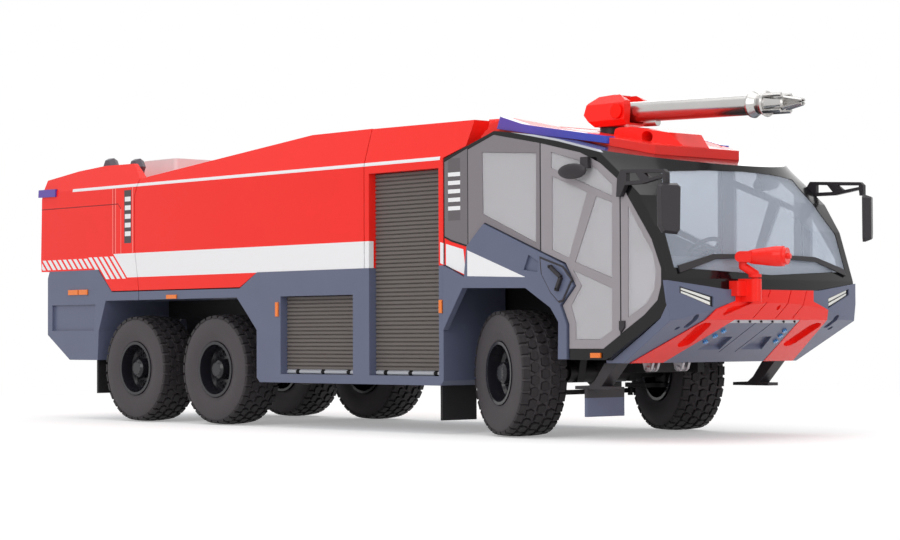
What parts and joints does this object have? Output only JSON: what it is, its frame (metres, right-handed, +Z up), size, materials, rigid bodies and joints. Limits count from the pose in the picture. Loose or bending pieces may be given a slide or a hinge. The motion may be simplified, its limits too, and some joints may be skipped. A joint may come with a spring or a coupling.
{
  "type": "airport fire truck scale model",
  "caption": "Scale model of an airport fire truck: rolling wheels, coupled front steering, hollow glazed cab, shuttered lockers, roof and bumper monitors that swivel and tilt.",
  "frame": {"origin": "on the ground, under the middle of the model's length and width", "axes": "+X forward along the truck, +Y to its left, +Z up"},
  "size_m": [0.2857, 0.079, 0.0873],
  "materials": {
    "red_paint": "gloss orange-red paint",
    "grey_paint": "satin blue-grey paint",
    "panel_grey": "printed warm grey",
    "shutter_grey": "ribbed warm grey",
    "black_gloss": "gloss black",
    "black_plastic": "satin black",
    "dark_grey": "matt dark grey",
    "white_plastic": "milky translucent white",
    "seat_grey": "matt light grey",
    "clear_glass": "clear moulding",
    "tinted_glass": "blue tinted clear moulding",
    "blue_lens": "blue-violet lens",
    "red_lens": "red lens",
    "orange_lens": "orange lens",
    "chrome_lamp": "bright plated",
    "bare_metal": "bright metal",
    "rim_black": "gloss black",
    "tyre": "dark rubber",
    "flap_rubber": "matt black"
  },
  "bodies": {
    "truck": {"beacon_strips": "blue_lens", "bumper_middle": "red_paint", "bumper_monitor_base": "red_paint", "bumper_plate": "grey_paint", "bumper_wings": "grey_paint", "cab_floor": "black_plastic", "cab_frame": "black_gloss", "cab_steps": "grey_paint", "chassis_frame": "black_plastic", "corner_beacons": "blue_lens", "dashboard": "dark_grey", "door_glass": "clear_glass", "doors": "panel_grey", "fenders": "grey_paint", "front_axle": "black_plastic", "front_quarter_glass": "clear_glass", "front_quarter_panels": "panel_grey", "headlights": "chrome_lamp", "middle_axle": "black_plastic", "mirrors": "black_plastic", "mud_flaps": "flap_rubber", "pump_module": "red_paint", "rear_axle": "black_plastic", "rear_corner_panels": "red_paint", "rear_lamps": "red_lens", "rear_lower_box": "grey_paint", "rear_module": "red_paint", "rear_quarter_panels": "panel_grey", "rear_side_glass": "clear_glass", "rear_side_panels": "panel_grey", "roof_box": "white_plastic", "roof_caps": "dark_grey", "roof_plate": "red_paint", "seats": "seat_grey", "side_lockers": "grey_paint", "side_markers": "orange_lens", "small_shutters": "shutter_grey", "steering_wheel": "black_plastic", "tall_shutters": "shutter_grey", "tank_body": "red_paint", "windscreen": "tinted_glass", "wipers": "black_plastic"},
    "knuckle_right": {"knuckle_right": "black_plastic"},
    "knuckle_left": {"knuckle_left": "black_plastic"},
    "track_rod": {"track_rod": "black_plastic"},
    "front_wheel_right": {"front_rim_right": "rim_black", "front_tyre_right": "tyre"},
    "front_wheel_left": {"front_rim_left": "rim_black", "front_tyre_left": "tyre"},
    "middle_wheels": {"middle_rims_and_rod": "rim_black", "middle_tyre_right": "tyre", "middle_tyre_left": "tyre"},
    "rear_wheels": {"rear_rims_and_rod": "rim_black", "rear_tyre_right": "tyre", "rear_tyre_left": "tyre"},
    "roof_monitor": {"monitor_swivel": "black_plastic", "monitor_housing": "red_paint"},
    "roof_barrel": {"monitor_barrel": "bare_metal"},
    "bumper_monitor": {"bumper_monitor_neck": "red_paint"},
    "bumper_nozzle": {"bumper_monitor_head": "red_paint"}
  },
  "joints": [
    {"name": "steer_left", "type": "hinge", "parent": "truck", "child": "knuckle_left", "pos_m": [0.072, 0.0242, 0.016], "axis": [0, 0, 1], "range_deg": [-8, 48]},
    {"name": "steer_right", "type": "hinge", "parent": "truck", "child": "knuckle_right", "pos_m": [0.072, -0.0242, 0.016], "axis": [0, 0, 1], "range_deg": [-8, 48]},
    {"name": "track_rod_left_eye", "type": "hinge", "parent": "knuckle_left", "child": "track_rod", "pos_m": [0.06243, 0.0213, 0.01], "axis": [0, 0, 1], "range_deg": [-62.8, 10.5]},
    {"name": "front_wheel_left_spin", "type": "hinge", "parent": "knuckle_left", "child": "front_wheel_left", "pos_m": [0.072, 0.0242, 0.016], "axis": [0.342, 0.9397, 0], "continuous": true},
    {"name": "front_wheel_right_spin", "type": "hinge", "parent": "knuckle_right", "child": "front_wheel_right", "pos_m": [0.072, -0.0242, 0.016], "axis": [0.342, 0.9397, 0], "continuous": true},
    {"name": "middle_wheels_spin", "type": "hinge", "parent": "truck", "child": "middle_wheels", "pos_m": [-0.0498, 0, 0.016], "axis": [0, 1, 0], "continuous": true},
    {"name": "rear_wheels_spin", "type": "hinge", "parent": "truck", "child": "rear_wheels", "pos_m": [-0.09, 0, 0.016], "axis": [0, 1, 0], "continuous": true},
    {"name": "roof_monitor_swivel", "type": "hinge", "parent": "truck", "child": "roof_monitor", "pos_m": [0.0767, 0, 0.0774], "axis": [0, 0, 1], "range_deg": [-90, 90]},
    {"name": "roof_barrel_tilt", "type": "hinge", "parent": "roof_monitor", "child": "roof_barrel", "pos_m": [0.0835, 0, 0.0827], "axis": [0, -1, 0], "range_deg": [-1.5, 58]},
    {"name": "bumper_monitor_swivel", "type": "hinge", "parent": "truck", "child": "bumper_monitor", "pos_m": [0.13375, -0.0111, 0.0387], "axis": [0, 0, 1], "range_deg": [-70, 30]},
    {"name": "bumper_nozzle_tilt", "type": "hinge", "parent": "bumper_monitor", "child": "bumper_nozzle", "pos_m": [0.13185, -0.0133, 0.0439], "axis": [0.342, -0.9397, 0], "range_deg": [-10, 45]}
  ],
  "couplings": [
    {"joint": "steer_right", "follows": "steer_left", "ratio": 1},
    {"joint": "track_rod_left_eye", "follows": "steer_left", "ratio": -1.308}
  ]
}
